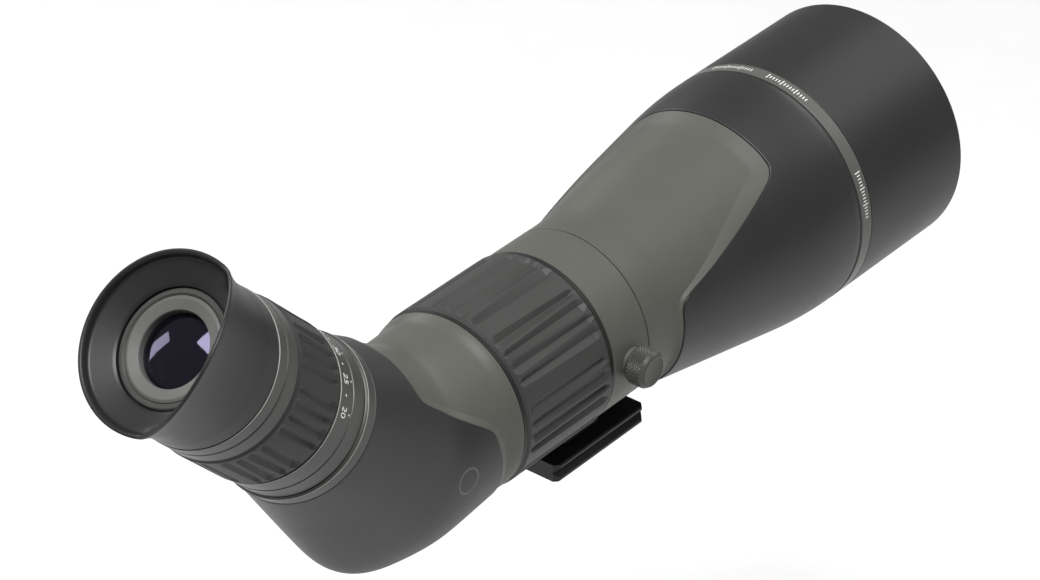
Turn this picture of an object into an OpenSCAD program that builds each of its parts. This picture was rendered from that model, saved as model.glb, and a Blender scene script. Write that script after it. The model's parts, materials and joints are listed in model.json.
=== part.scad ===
// Angled spotting scope: objective barrel, rotating tripod collar, focusing ring,
// prism housing and a zoom eyepiece with a twist-up eyecup.
// Frame: origin at the tripod thread in the middle of the foot's underside,
// +Y towards the objective, +X to the user's right, +Z up.

/* [Layout] */
// Height of the optical axis above the underside of the foot
axis_height = 48; // [44:0.5:60]
// Distance from the middle of the foot back to the middle of the collar
collar_set_back = 3.25; // [0:0.25:5]
// Angle of the eyepiece above the barrel's axis
eyepiece_angle = 45; // [45]
// Distance from the rear of the focusing ring to where the two axes cross
elbow_depth = 43.4; // [42:0.2:56]

/* [Barrel] */
// Length of the flared barrel ahead of the collar
barrel_len = 110.7; // [90:0.1:140]
// Outer radius at the front of the barrel
front_r = 49.25; // [46:0.05:56]
// Outer radius at the neck, collar and focusing ring
neck_r = 34.7; // [33.5:0.1:38]
// Length of the straight neck behind the flare
neck_len = 3.5; // [2:0.5:8]
// Length of the straight land ahead of the flare
front_land = 18.8; // [14:0.1:30]
// Wall thickness of the barrel casting
barrel_wall = 2.4; // [1.8:0.1:3]
// Thickness of the rubber armour
armour_t = 0.9; // [0.6:0.1:1.3]
// Bare length of casting between the collar and the armour
armour_start = 17.9; // [12:0.1:25]
// Distance from the collar to the front edge of the bare top panel
panel_front = 79.9; // [60:0.1:85]
// Half width of the bare top panel at its front corners
panel_front_half = 31; // [24:0.5:33]
// Half width of the bare top panel at its rear
panel_rear_half = 35.8; // [34:0.1:36]
// Width of the marking band
band_len = 5.9; // [4:0.1:9]

/* [Objective and hood] */
// Clear radius of the objective lens
objective_r = 40; // [36:0.5:41]
// Length of the sliding hood
hood_len = 59.4; // [52:0.1:75]
// Wall thickness of the hood
hood_wall = 2.3; // [1.8:0.1:2.4]
// How far the hood pulls out
hood_travel = 30; // [10:1:32]

/* [Collar and foot] */
// Width of the rotating collar
collar_len = 19.7; // [18:0.1:26]
// Outer radius of the inner chassis tube
chassis_r = 31; // [30:0.1:31.2]
// Wall thickness of the chassis tube
chassis_wall = 2.4; // [2:0.1:3]
// Thickness of the plain bearing liner in the collar
liner_t = 1; // [0.8:0.1:1.2]
// Length of the dovetail foot
foot_len = 51.7; // [46:0.1:70]
// Width of the dovetail foot
foot_w = 38; // [38]
// Thickness of the foot
foot_t = 7.2; // [6.5:0.1:9]
// Depth of the dovetail groove along each side
groove_depth = 2.2; // [1.5:0.1:2.6]
// Minor radius of the tripod thread
thread_r = 2.55; // [2.55]
// Depth of the tripod thread
thread_depth = 8; // [7:0.5:9]
// Radius of the anti-twist pin hole
pin_hole_r = 2.4; // [2.2:0.1:2.6]
// Distance from the tripod thread back to the anti-twist pin hole
pin_hole_back = 16.5; // [16:0.1:18]
// Radius of the locking knob
knob_r = 7.4; // [6.5:0.1:9]
// Thickness of the locking knob
knob_len = 8.6; // [7:0.1:12]

/* [Focusing] */
// Length of the focusing ring
focus_len = 50; // [44:0.5:60]
// Height of the rubber ribs above the neck
rib_rise = 0.7; // [0.4:0.1:1]
// Travel of the focusing lens each way
focus_travel = 7; // [4:0.5:8]
// Length of the focusing lens carriage
carriage_len = 16; // [12:0.5:18]

/* [Eyepiece] */
// Distance along the eyepiece axis to the end of the housing's neck
neck_s = 50; // [48:0.5:60]
// Outer radius of the housing's neck
neck_end_r = 30; // [29:0.1:32]
// Length of the fixed base ring
base_ring_len = 5.7; // [4:0.1:8]
// Length of the zoom ring's scale band
scale_len = 16.3; // [14:0.1:22]
// Length of the zoom ring's rubber grip
zoom_grip_len = 28.5; // [27:0.5:36]
// Length of the plain rim ahead of the zoom grip
zoom_rim_len = 6.2; // [4:0.1:8]
// Outer radius of the zoom ring
zoom_r = 28.9; // [28.6:0.1:30.5]
// Length of the fixed stop ring
stop_ring_len = 5.3; // [4:0.1:8]
// Outer radius of the eyepiece tube
tube_r = 25.5; // [25.2:0.1:26]
// Length of the eyecup
eyecup_len = 24.8; // [22:0.1:30]
// Radius of the eyecup's lip
lip_r = 31.9; // [30:0.1:35]
// Height of the eyecup's side shield above the rest of its rim
shield_rise = 18; // [8:0.5:20]
// Distance from the eyepiece axis to where the side shield starts to rise
shield_start = 9.6; // [6:0.2:16]
// How far the eyecup rises
eyecup_travel = 9; // [5:0.5:9]
// Turn of the zoom ring over its range, in degrees
zoom_turn = 150; // [110:5:160]
// Radius of the window in front of the eye lens
eye_window_r = 13.1; // [11:0.1:14]

/* [Hidden] */
$fn = 96;

olive = "#4c4d47";
black = "#2b2b2c";
steel = "#9a9c9e";
brass = "#b08d4a";
glass = "#9db7c9";

// Clearances
run_gap = 0.05;      // radial, between parts that turn or slide on each other
end_gap = 0.3;       // axial, between neighbouring moving parts
slot_gap = 0.35;     // round a pin in its slot
over = 1;            // how far a cut runs past what it cuts

// Stations along the barrel's axis
collar_back = -collar_set_back - collar_len / 2;
collar_front = collar_back + collar_len;
barrel_back = collar_front + end_gap;
barrel_front = barrel_back + barrel_len;
hood_back = barrel_front + band_len + end_gap / 2;
focus_front = collar_back - end_gap;
focus_back = focus_front - focus_len;
housing_front = focus_back - end_gap;
cross_y = housing_front - elbow_depth + end_gap;

// Radii round the chassis tube
chassis_bore = chassis_r - chassis_wall;
turning_r = chassis_r + run_gap;
liner_r = turning_r + liner_t;
sleeve_r = neck_r - 1.3;
pin_relief_r = chassis_r + 1.6;
carriage_r = chassis_bore - run_gap;

// Chassis tube: it plugs into the housing behind and the barrel ahead
plug_len = 6.3;
socket_len = 10;
chassis_back = housing_front - plug_len;
chassis_front = barrel_back + socket_len;
rear_flange_t = 3;
rear_flange_r = 23.5;

// Objective end
hood_overlap = 22;
objective_tube_len = hood_travel + hood_overlap;
objective_tube_r = front_r - hood_wall - 0.95;
objective_tube_bore = objective_tube_r - 2.3;
cell_r = objective_tube_bore;
cell_len = 28;
cell_front = barrel_front + objective_tube_len;
cell_back = cell_front - cell_len;
lens_r = objective_r + 1.2;
seat_t = 3;
flint_edge = 7;
spacer_t = 0.4;
crown_edge = 6;
seal_t = 1.4;
guide_ring_len = 4;

// Locking knob
shoe_r = 3.15;
shoe_len = 2.6;
boss_r = 5.6;
boss_rise = 1;
boss_x = neck_r + boss_rise;
screw_r = 2.5;
pivot_r = 1.5;
lock_travel = 1.2;
shoe_room = turning_r + shoe_len - 1 + lock_travel + end_gap;
knob_x = boss_x + 0.35;

// Focusing movement
focus_mid = (focus_front + focus_back) / 2;
focus_pin_r = 1.8;
focus_lens_r = 22.5;
land_len = 4;
slot_angles = [90, 210, 330];
flange_screw_at = 26;
flange_hole_r = 1.05;
focus_pin_from = 25;

// Stations along the eyepiece's axis
base_end = neck_s + base_ring_len;
zoom_back = base_end + 0.4;
grip_back = zoom_back + scale_len;
grip_front = grip_back + zoom_grip_len;
zoom_front = grip_front + zoom_rim_len;
stop_back = zoom_front + end_gap;
stop_front = stop_back + stop_ring_len;
cup_back = stop_front + end_gap;
cup_front = cup_back + eyecup_len;

// Radii in the eyepiece, from the outside in
zoom_bore = tube_r + run_gap;
tube_bore = tube_r - 1.9;
cam_r = tube_bore - run_gap;
cam_bore = cam_r - 1.6;
guide_r = cam_bore - run_gap;
guide_bore = guide_r - 1.6;
cell_slide_r = guide_bore - run_gap;
zoom_lens_r = cell_slide_r - 1.6;
head_r = 20.5;
head_bore = 17.9;
grip_seat_r = zoom_r - 1.5;

// Zoom movement
screw_s = zoom_back + 4.4;
field_s = screw_s + 5.5;
field_travel = 12;
relay_travel = 9;
zoom_cell_len = 5;
relay_s = field_s + field_travel + zoom_cell_len + relay_travel + 2;
field_rest = field_s + field_travel / 2;
relay_rest = relay_s - relay_travel / 2;
zoom_pin_r = 1.2;
drive_r = 1.2;
pin_angles = [0, 180];
guide_back = zoom_back - 2;
guide_front = stop_back - 1.5;
cam_back = zoom_back + 2;
cam_front = relay_s + 9;

// Eyecup
head_front = cup_front - 6.2;
glide_r = 23.2;
cup_sleeve_r = 25.4;
glide_len = eyecup_travel + 6.5;
glide_back = cup_back + 1.4;
cup_wall = 3.1;
cup_r = cup_sleeve_r + cup_wall;
cup_floor_s = head_front - 0.1;
key_half = 1.2;
guide_angles = [45, 165, 285];
guide_pin_s = head_front - 4;
glide_rim = 2.5;

// ---------- placing ----------
module on_tube(y) translate([0, y, axis_height]) rotate([-90, 0, 0]) children();
module on_eyepiece(s)
    translate([0, cross_y, axis_height]) rotate([eyepiece_angle, 0, 0]) translate([0, 0, s]) children();
module around(angles) for (a = angles) rotate([0, 0, a]) children();

// ---------- shapes ----------
module ring(r_out, r_in, len)
    difference() {
        cylinder(r = r_out, h = len);
        translate([0, 0, -over]) cylinder(r = r_in, h = len + 2 * over);
    }

// Ring with both outer edges chamfered
module edged_ring(r_out, r_in, len, edge)
    rotate_extrude()
        polygon([[r_in, 0], [r_out - edge, 0], [r_out, edge], [r_out, len - edge],
                 [r_out - edge, len], [r_in, len]]);

// Radial pin or bore along local +X
module radial(r, from, to) translate([from, 0, 0]) rotate([0, 90, 0]) cylinder(r = r, h = to - from, $fn = 32);

// Slot of straight sides and round ends along local Z, cut from radius `from` to `to`
module long_slot(half_w, z0, z1, from, to) {
    for (z = [z0, z1]) translate([0, 0, z]) radial(half_w, from, to);
    translate([from, -half_w, z0]) cube([to - from, 2 * half_w, z1 - z0]);
}

function unit(v) = v / norm(v);
// Smooth bend between two straight lines that meet at b, starting a distance t from it
function bend(a, b, c, t, n = 8) =
    [for (i = [0 : n]) let (u = i / n)
        (1 - u) * (1 - u) * (b + t * unit(a - b)) + 2 * u * (1 - u) * b + u * u * (b + t * unit(c - b))];
// Profile of one lens face: sag at the middle falling to nothing at the flat land round the rim
lens_land = 1.25;
function face_sag(r, rim, sag) = sag * (1 - pow(r / (rim - lens_land), 2));
function face_points(rim, sag, z, n = 10) = concat(
    [for (i = [0 : n]) let (r = (rim - lens_land) * i / n) [r, z + face_sag(r, rim, sag)]], [[rim, z]]);
function reversed(p) = [for (i = [len(p) - 1 : -1 : 0]) p[i]];

// Lens with an edge of the given thickness, and a sag that is positive where a face bulges
module lens(r, edge, sag_back, sag_front)
    rotate_extrude()
        polygon(concat(reversed(face_points(r, -sag_back, 0)), face_points(r, sag_front, edge)));

// ---------- collar and foot ----------
foot_top = foot_t;
pedestal_half = 12;
groove_half = 2.1;
groove_flat = 0.3;
foot_corner = 2;
foot_screw_r = 2;
foot_head_r = 3.6;
foot_head_t = 3.2;
insert_r = 4.6;
foot_screw_x = 8.2;
foot_screw_y = collar_len / 2 - 4.4;
module foot_screw_places()
    for (x = [-1, 1], y = [-1, 1])
        translate([x * foot_screw_x, -collar_set_back + y * foot_screw_y, 0]) children();

module collar()
    color(olive) difference() {
        union() {
            on_tube(collar_back) edged_ring(neck_r, liner_r, collar_len, 0.3);
            translate([0, -collar_set_back, axis_height]) radial(boss_r, liner_r + over, boss_x);
            difference() {
                translate([-pedestal_half, collar_back + 0.4, foot_top])
                    cube([2 * pedestal_half, collar_len - 0.8, axis_height - foot_top]);
                on_tube(collar_back - over) cylinder(r = (neck_r + liner_r) / 2, h = collar_len + 2 * over);
                translate([-neck_r, collar_back - over, axis_height])
                    cube([2 * neck_r, collar_len + 2 * over, neck_r]);
            }
        }
        translate([0, -collar_set_back, axis_height]) {
            radial(shoe_r + run_gap, 0, shoe_room);
            radial(screw_r + run_gap, 0, boss_x + over);
        }
        foot_screw_places() cylinder(r = foot_screw_r, h = foot_top + 6, $fn = 32);
        cylinder(r = insert_r, h = thread_depth + 0.4);
    }

module collar_liner()
    color("#d8d6cc") difference() {
        on_tube(collar_back + 0.2) ring(liner_r, turning_r, collar_len - 0.4);
        translate([0, -collar_set_back, axis_height]) radial(shoe_r + run_gap, 0, neck_r);
    }

// Half outline of the dovetail: lips above and below a V groove
function foot_side(x, side) = let (m = foot_t / 2, c = 0.5) [
    [side * (x - c), 0], [side * x, c],
    [side * x, m - groove_half], [side * (x - groove_depth), m - groove_flat],
    [side * (x - groove_depth), m + groove_flat], [side * x, m + groove_half],
    [side * x, foot_t - c], [side * (x - c), foot_t]];

module foot_plate()
    color("#1d1d1e") difference() {
        intersection() {
            translate([0, foot_len / 2, 0]) rotate([90, 0, 0])
                linear_extrude(foot_len)
                    polygon(concat(foot_side(foot_w / 2, 1), reversed(foot_side(foot_w / 2, -1))));
            linear_extrude(foot_t)
                polygon([for (c = [[1, 1], [-1, 1], [-1, -1], [1, -1]], k = [0, 1])
                    let (first = (c[0] * c[1] > 0) == (k == 0))
                    [c[0] * (foot_w / 2 - (first ? 0 : foot_corner)),
                     c[1] * (foot_len / 2 - (first ? foot_corner : 0))]]);
        }
        foot_screw_places() {
            translate([0, 0, -over]) cylinder(r = foot_head_r + 0.2, h = foot_head_t + 0.3 + over, $fn = 32);
            cylinder(r = foot_screw_r + 0.2, h = foot_t + over, $fn = 32);
        }
        translate([0, 0, -over]) cylinder(r = insert_r, h = foot_t + 2 * over);
        translate([0, -pin_hole_back, -over]) cylinder(r = pin_hole_r, h = 5 + over, $fn = 32);
    }

module foot_screws()
    color(steel) foot_screw_places() difference() {
        union() {
            translate([0, 0, 0.3]) cylinder(r = foot_head_r, h = foot_head_t, $fn = 32);
            cylinder(r = foot_screw_r, h = foot_t + 5.5, $fn = 32);
        }
        translate([0, 0, -over]) cylinder(r = 1.5, h = 2 + over, $fn = 6);
    }

module tripod_insert()
    color(steel) difference() {
        cylinder(r = insert_r, h = thread_depth + 0.4);
        translate([0, 0, -over]) cylinder(r = thread_r, h = thread_depth + over);
    }

module lock_shoe()
    color(brass) translate([0, -collar_set_back, axis_height]) difference() {
        radial(shoe_r, turning_r, turning_r + shoe_len - 1);
        radial(pivot_r + run_gap, turning_r + 0.4, turning_r + shoe_len);
    }

module lock_screw()
    color(steel) translate([0, -collar_set_back, axis_height]) {
        radial(pivot_r, turning_r + 0.5, turning_r + shoe_len);
        radial(screw_r, turning_r + shoe_len - 0.9, knob_x + knob_len - 2);
    }

// Thumb knob with a knurled rim and a shallow dished face
module lock_knob()
    color(olive) translate([knob_x, -collar_set_back, axis_height]) rotate([0, 90, 0]) difference() {
        rotate_extrude()
            polygon([[0, 0], [knob_r - 1.2, 0], [knob_r - 0.5, 0.7], [knob_r, 1.2], [knob_r, knob_len - 1.4],
                     [knob_r - 0.8, knob_len - 0.5], [knob_r - 1.6, knob_len], [knob_r - 2.2, knob_len - 0.3],
                     [0, knob_len - 0.6]]);
        translate([0, 0, -over]) cylinder(r = screw_r, h = knob_len - 2 + over, $fn = 32);
        for (k = [0 : 27]) rotate([0, 0, k * 360 / 28])
            translate([knob_r + 0.25, 0, 1.4]) rotate([0, 0, 45])
                cube([0.8, 0.8, 2 * knob_len - 5.8], center = true);
    }

// ---------- chassis and barrel ----------
module chassis_tube()
    color(steel) difference() {
        on_tube(chassis_back) difference() {
            union() {
                ring(chassis_r, chassis_bore, chassis_front - chassis_back);
                ring(chassis_bore + 0.5, rear_flange_r, rear_flange_t);
            }
            for (z = [focus_back + 1.2, focus_front - 2.4])
                translate([0, 0, z - chassis_back]) ring(chassis_r + over, chassis_r - 1, 1.2);
            translate([0, 0, focus_mid - chassis_back]) around(slot_angles)
                long_slot(focus_pin_r + slot_gap, -focus_travel - slot_gap, focus_travel + slot_gap,
                          chassis_bore - over, chassis_r + over);
            around(slot_angles) translate([flange_screw_at, 0, -over])
                cylinder(r = flange_hole_r, h = rear_flange_t + 2 * over, $fn = 32);
        }
    }

// Outline of the barrel, taken in by `inset` from the armour's outer surface: [radius, distance ahead]
flare_end = barrel_len - front_land;
function barrel_line(inset) = let (
    a = [neck_r - inset, 0], b = [neck_r - inset, neck_len],
    c = [front_r - inset, flare_end + neck_len], d = [front_r - inset, barrel_len])
    concat(bend(a, b, c, neck_len), bend(b, c, d, front_land - neck_len - 1));
function ahead_of(p, y) = [for (q = p) if (q[1] > y) q];
function line_r(inset, y) = neck_r - inset + (front_r - neck_r) * (y - neck_len) / flare_end;

module barrel_shell()
    color(olive) on_tube(barrel_back) rotate_extrude()
        polygon(concat(
            [[chassis_r, 0]], [[neck_r, 0], [neck_r, 1.2]],
            ahead_of(barrel_line(armour_t), 1.5),
            [[front_r - armour_t, barrel_len], [objective_tube_r, barrel_len],
             [objective_tube_r, barrel_len + objective_tube_len],
             [objective_tube_bore, barrel_len + objective_tube_len],
             [objective_tube_bore, barrel_len - 4]],
            [[front_r - armour_t - barrel_wall, barrel_len - 6]],
            reversed([for (q = barrel_line(armour_t + barrel_wall))
                if (q[1] > socket_len && q[1] < barrel_len - 8) q]),
            [[line_r(armour_t + barrel_wall, socket_len + 1), socket_len + 1],
             [chassis_r, socket_len]]));

// Plan of the bare top panel, ahead of the collar
module panel_plan() {
    side_y = panel_front - 12;
    corner = [panel_front_half, panel_front];
    side = [panel_front_half + 2.6, side_y];
    right = concat([[panel_rear_half, 0], [panel_rear_half, armour_start + 18]],
                   bend(side, corner, [0, panel_front + 1], 7));
    polygon(concat(right, reversed([for (p = right) [-p[0], p[1]]])));
}

module barrel_armour()
    color(black) difference() {
        on_tube(barrel_back) rotate_extrude()
            polygon(concat(
                [[line_r(armour_t, armour_start), armour_start], [line_r(0.3, armour_start), armour_start],
                 [line_r(0, armour_start + 0.8), armour_start + 0.8]],
                ahead_of(barrel_line(0), armour_start + 1),
                [[front_r - armour_t, barrel_len]],
                reversed(ahead_of(barrel_line(armour_t), armour_start))));
        translate([0, barrel_back, axis_height]) linear_extrude(front_r + over) panel_plan();
    }

band_inset = 0.1;
module marking_band()
    color("#5c5d58") on_tube(barrel_front) edged_ring(front_r - band_inset, objective_tube_r, band_len, 0.25);

// Knife-edge rings that stop light glancing off the barrel's wall
baffle_depth = 4.5;
baffle_half = 0.6;
module barrel_baffles() {
    wall = armour_t + barrel_wall;
    color(black) on_tube(barrel_back) for (share = [0.3, 0.5, 0.7]) {
        y = share * barrel_len;
        back = y - baffle_half;
        front = y + baffle_half;
        rotate_extrude()
            polygon([[line_r(wall, y) - baffle_depth, y], [line_r(wall, back), back], [line_r(wall, front), front]]);
    }
}

// ---------- objective ----------
module objective_cell()
    color(black) on_tube(cell_back) rotate_extrude()
        polygon([[objective_r, 0], [cell_r, 0], [cell_r, cell_len], [lens_r, cell_len], [lens_r, seat_t],
                 [objective_r, seat_t]]);

flint_y = cell_back + seat_t;
spacer_y = flint_y + flint_edge;
crown_y = spacer_y + spacer_t;
seal_y = crown_y + crown_edge;
retainer_y = seal_y + seal_t;
module objective_flint() color(glass) on_tube(flint_y) lens(lens_r - run_gap, flint_edge, 1.2, -2.2);
module objective_spacer() color(brass) on_tube(spacer_y) ring(lens_r - run_gap, lens_r - 1, spacer_t);
module objective_crown() color(glass) on_tube(crown_y) lens(lens_r - run_gap, crown_edge, 2.1, 2.6);
module objective_seal() color("#151515") on_tube(seal_y) ring(lens_r - run_gap, lens_r - 1.1, seal_t);
module objective_retainer()
    color(black) on_tube(retainer_y) rotate_extrude()
        polygon([[objective_r, 0], [lens_r, 0], [lens_r, 4], [objective_r + 0.6, 4]]);

module hood_guide_ring()
    color(black) on_tube(cell_front - guide_ring_len)
        ring(front_r - hood_wall - run_gap, objective_tube_r, guide_ring_len);

module hood()
    color(black) on_tube(hood_back) rotate_extrude()
        polygon([[objective_tube_r + run_gap, 0], [front_r - 0.3, 0], [front_r, 0.3],
                 [front_r, hood_len - 1.2], [front_r - 0.4, hood_len - 0.4], [front_r - 1.1, hood_len],
                 [front_r - 1.7, hood_len - 0.3], [front_r - hood_wall, hood_len - 1.5],
                 [front_r - hood_wall, 6.5], [objective_tube_r + run_gap, 5.5]]);

// ---------- focusing ----------
module focus_sleeve()
    color(steel) on_tube(focus_back) rotate_extrude()
        polygon([[turning_r, 0], [neck_r - 0.2, 0], [neck_r - 0.2, 1.6], [sleeve_r, 1.6],
                 [sleeve_r, focus_len - 1.6], [neck_r - 0.2, focus_len - 1.6], [neck_r - 0.2, focus_len],
                 [turning_r, focus_len], [turning_r, focus_len - land_len], [pin_relief_r, focus_len - land_len],
                 [pin_relief_r, land_len], [turning_r, land_len]]);

// Rubber grip: groups of ridges between wide flats, with plain rims at both ends
grip_groups = 8;
grip_rim = 3;
module ribbed_grip(r_in, r_rim, r_crest, len, depth, half_w)
    difference() {
        union() {
            ring(r_rim, r_in, len);
            translate([0, 0, grip_rim]) ring(r_crest, r_in, len - 2 * grip_rim);
        }
        for (g = [0 : grip_groups - 1], k = [-1.5 : 1.5])
            rotate([0, 0, g * 360 / grip_groups + 9 * k])
                translate([r_crest - depth, -half_w, grip_rim + 1.5])
                    cube([depth + over, 2 * half_w, len - 2 * grip_rim - 3]);
    }

module focus_grip()
    color(black) on_tube(focus_back + 1.7)
        ribbed_grip(sleeve_r, neck_r - 0.2, neck_r + rib_rise, focus_len - 3.4, 1.1, 1.4);

module focus_seals()
    color("#151515") for (y = [focus_back + 1.2, focus_front - 2.4])
        on_tube(y) ring(chassis_r - 0.02, chassis_r - 1, 1.2);

module focus_carriage()
    color(steel) on_tube(focus_mid - carriage_len / 2) difference() {
        rotate_extrude()
            polygon([[focus_lens_r - 1.5, 0], [carriage_r, 0], [carriage_r, carriage_len],
                     [focus_lens_r, carriage_len], [focus_lens_r, 3], [focus_lens_r - 1.5, 3]]);
        translate([0, 0, carriage_len / 2]) around(slot_angles) radial(focus_pin_r, focus_pin_from, carriage_r + over);
    }
module focus_pins()
    color(brass) on_tube(focus_mid) around(slot_angles) radial(focus_pin_r, focus_pin_from, pin_relief_r - 0.3);
module focus_lens()
    color(glass) on_tube(focus_mid - carriage_len / 2 + 3) lens(focus_lens_r - run_gap, 7, -1.2, -2);
module focus_retainer()
    color(black) on_tube(focus_mid - carriage_len / 2 + 10) ring(focus_lens_r, focus_lens_r - 1.5, 3);

// ---------- prism housing ----------
// Two rounded masses and the two round openings define the elbow
mass_a = [0, 9.3, -3.4];
mass_a_r = [33.6, 38.2, 38.2];
mass_b = [0, -3.4, -13.3];
mass_b_r = [23.6, 30.2, 30.2];
elbow_fn = 30;
module mass(at, radii, inset)
    translate(at) scale([for (r = radii) (r - inset) / 10]) sphere(r = 10, $fn = elbow_fn);
module masses(inset) {
    mass(mass_a, mass_a_r, inset);
    mass(mass_b, mass_b_r, inset);
}
// Elbow with its surface taken in by `inset`, and its two ends moved in by `end_inset`
module elbow(inset, end_inset = 0)
    difference() {
        translate([0, cross_y, axis_height]) {
            hull() {
                masses(inset);
                translate([0, housing_front - cross_y - end_inset, 0]) rotate([90, 0, 0])
                    cylinder(r = neck_r - inset, h = 0.5, $fn = 2 * elbow_fn);
            }
            hull() {
                masses(inset);
                rotate([eyepiece_angle, 0, 0]) translate([0, 0, neck_s - 0.5 - end_inset])
                    cylinder(r = neck_end_r - inset, h = 0.5, $fn = 2 * elbow_fn);
            }
        }
        on_tube(housing_front - end_inset) cylinder(r = 2 * neck_r, h = elbow_depth);
    }

housing_wall = 3;
module prism_housing()
    color(olive) difference() {
        elbow(armour_t);
        elbow(armour_t + housing_wall, 6);
        on_tube(chassis_back) cylinder(r = chassis_r, h = plug_len + over);
        on_eyepiece(neck_s - 12) cylinder(r = tube_r, h = 12 + over);
        purge_place() cylinder(r = 2, h = 20, center = true, $fn = 32);
    }

// Side view of the armoured region: everything behind this line, as [distance ahead, height]
module rear_region()
    translate([-60, cross_y, axis_height]) rotate([90, 0, 90])
        linear_extrude(120)
            polygon([[-70, 70], [-16, 62], [-7, 53], [0.3, 42], [0.8, 32], [28.9, 9], [31.3, -2], [36.3, -32],
                     [38, -60], [-70, -60]]);

medallion_at = [cross_y + 13.8, axis_height - 3];
medallion_r = 5.5;
medallion_x = 28;
module medallion_place()
    translate([medallion_x, medallion_at[0], medallion_at[1]]) rotate([0, 90, 0]) children();

module rear_armour()
    color(black) difference() {
        intersection() {
            elbow(0);
            rear_region();
        }
        elbow(armour_t);
        medallion_place() cylinder(r = medallion_r, h = 20);
    }

module side_medallion()
    color("#6b6c68") difference() {
        intersection() {
            medallion_place() cylinder(r = medallion_r - 0.05, h = 20);
            elbow(0.1);
        }
        elbow(armour_t);
    }

// ---------- prism ----------
face_len = 40;
prism_half = 16;
entry_y = cross_y + face_len * (sqrt(2) - 1) / 2;
apex_z = face_len / 2;
cheek_x = prism_half + 0.2;
cheek_t = 2;
cage_front = chassis_back;
// Side view of the prism: two faces 45 degrees apart meet at the top, and the roof joins their far ends
module roof_prism()
    color(glass) translate([0, entry_y, axis_height + apex_z]) intersection() {
        translate([-prism_half, 0, 0]) rotate([90, 0, 90])
            linear_extrude(2 * prism_half)
                polygon([[0, 0], [0, -face_len], [-face_len / sqrt(2), -face_len / sqrt(2)]]);
        rotate([67.5 - 90, 0, 0]) translate([0, 0, -face_len * cos(22.5)]) rotate([90, 0, 0])
            translate([0, 0, -face_len]) linear_extrude(2 * face_len)
                polygon([[-2, 1], [0, 0], [2, 1], [prism_half + 3, prism_half + 2], [prism_half + 3, 2 * face_len],
                         [-prism_half - 3, 2 * face_len], [-prism_half - 3, prism_half + 2]]);
    }

module prism_cage()
    color(steel) union() {
        on_tube(cage_front - rear_flange_t) difference() {
            ring(29.5, 17, rear_flange_t);
            around(slot_angles) translate([flange_screw_at, 0, -over])
                cylinder(r = flange_hole_r, h = rear_flange_t + 2 * over, $fn = 32);
        }
        for (side = [-1, 1]) translate([side * (cheek_x + cheek_t / 2) - cheek_t / 2, 0, axis_height]) {
            translate([0, entry_y - 12, -14]) cube([cheek_t, cage_front - entry_y + 12 - 1, 28]);
            translate([0, entry_y - 6, -14]) cube([cheek_t, 12, 14 + apex_z]);
        }
    }

module prism_clamp()
    color(steel) translate([-cheek_x - cheek_t, entry_y - 4, axis_height + apex_z + 0.05])
        cube([2 * (cheek_x + cheek_t), 8, 0.8]);

module prism_screws()
    color(steel) on_tube(cage_front - rear_flange_t) around(slot_angles) translate([flange_screw_at, 0, 0]) {
        translate([0, 0, -1.2]) cylinder(r = 1.9, h = 1.2, $fn = 32);
        cylinder(r = 1, h = 2 * rear_flange_t - 0.4, $fn = 32);
    }

module purge_place() translate([0, cross_y + mass_b[1], axis_height + mass_b[2] - mass_b_r[2]]) children();
module purge_screw()
    color(brass) difference() {
        purge_place() translate([0, 0, armour_t + 0.4]) cylinder(r = 1.95, h = 4, $fn = 32);
        purge_place() translate([0, 0, armour_t]) cylinder(r = 0.8, h = 2, $fn = 6);
    }

// ---------- eyepiece, fixed parts ----------
module eyepiece_base_ring()
    color(olive) on_eyepiece(neck_s) edged_ring(neck_end_r - 0.1, tube_r, base_ring_len, 0.4);

module eyepiece_tube()
    color(steel) on_eyepiece(0) difference() {
        translate([0, 0, neck_s - 12]) ring(tube_r, tube_bore, stop_front - neck_s + 12);
        translate([0, 0, screw_s - drive_r - slot_gap])
            for (start = pin_angles) rotate([0, 0, start - zoom_turn / 2 - 6])
                rotate_extrude(angle = zoom_turn + 12) translate([tube_bore - over, 0])
                    square([tube_r - tube_bore + 2 * over, 2 * (drive_r + slot_gap)]);
    }

module stop_ring()
    color(olive) on_eyepiece(stop_back) edged_ring(zoom_r - 0.2, tube_r, stop_ring_len, 0.3);

module guide_tube()
    color(steel) on_eyepiece(0) difference() {
        translate([0, 0, guide_back]) ring(guide_r, guide_bore, guide_front - guide_back);
        around(pin_angles) {
            long_slot(zoom_pin_r + 0.2, field_s - slot_gap, field_s + field_travel + slot_gap,
                guide_bore - over, guide_r + over);
            rotate([0, 0, 90]) long_slot(zoom_pin_r + 0.2, relay_s - relay_travel - slot_gap, relay_s + slot_gap,
                guide_bore - over, guide_r + over);
        }
    }

module eyepiece_head()
    color(black) on_eyepiece(0) difference() {
        rotate_extrude()
            polygon([[head_bore, guide_front], [tube_bore, guide_front], [tube_bore, stop_front],
                     [head_r, stop_front], [head_r, head_front - 0.4], [head_r - 0.4, head_front],
                     [head_bore, head_front]]);
        translate([0, 0, guide_pin_s]) around(guide_angles) radial(key_half - 0.2, head_r - 1.5, head_r + over);
    }

module field_stop() color(black) on_eyepiece(guide_front) ring(head_bore, 12, 1.2);
module eye_doublet() color(glass) on_eyepiece(guide_front + 3) lens(head_bore - run_gap, 8, 1.5, 1.5);
eye_lens_r = head_bore - run_gap;
eye_sag = 3;
eye_seat = head_front - 5;
module eye_lens() color(glass) on_eyepiece(eye_seat - 4) lens(eye_lens_r, 4, 0.6, eye_sag);
module eye_lens_retainer()
    color("#5c5d58") on_eyepiece(eye_seat) rotate_extrude()
        polygon([[eye_window_r, face_sag(eye_window_r, eye_lens_r, eye_sag) + 0.12], [eye_lens_r - lens_land, 0.1],
                 [head_bore - 0.02, 0], [head_bore - 0.02, 4.6], [head_bore - 0.6, 5.2],
                 [eye_window_r + 0.3, 4.2], [eye_window_r, 3.8]]);

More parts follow.
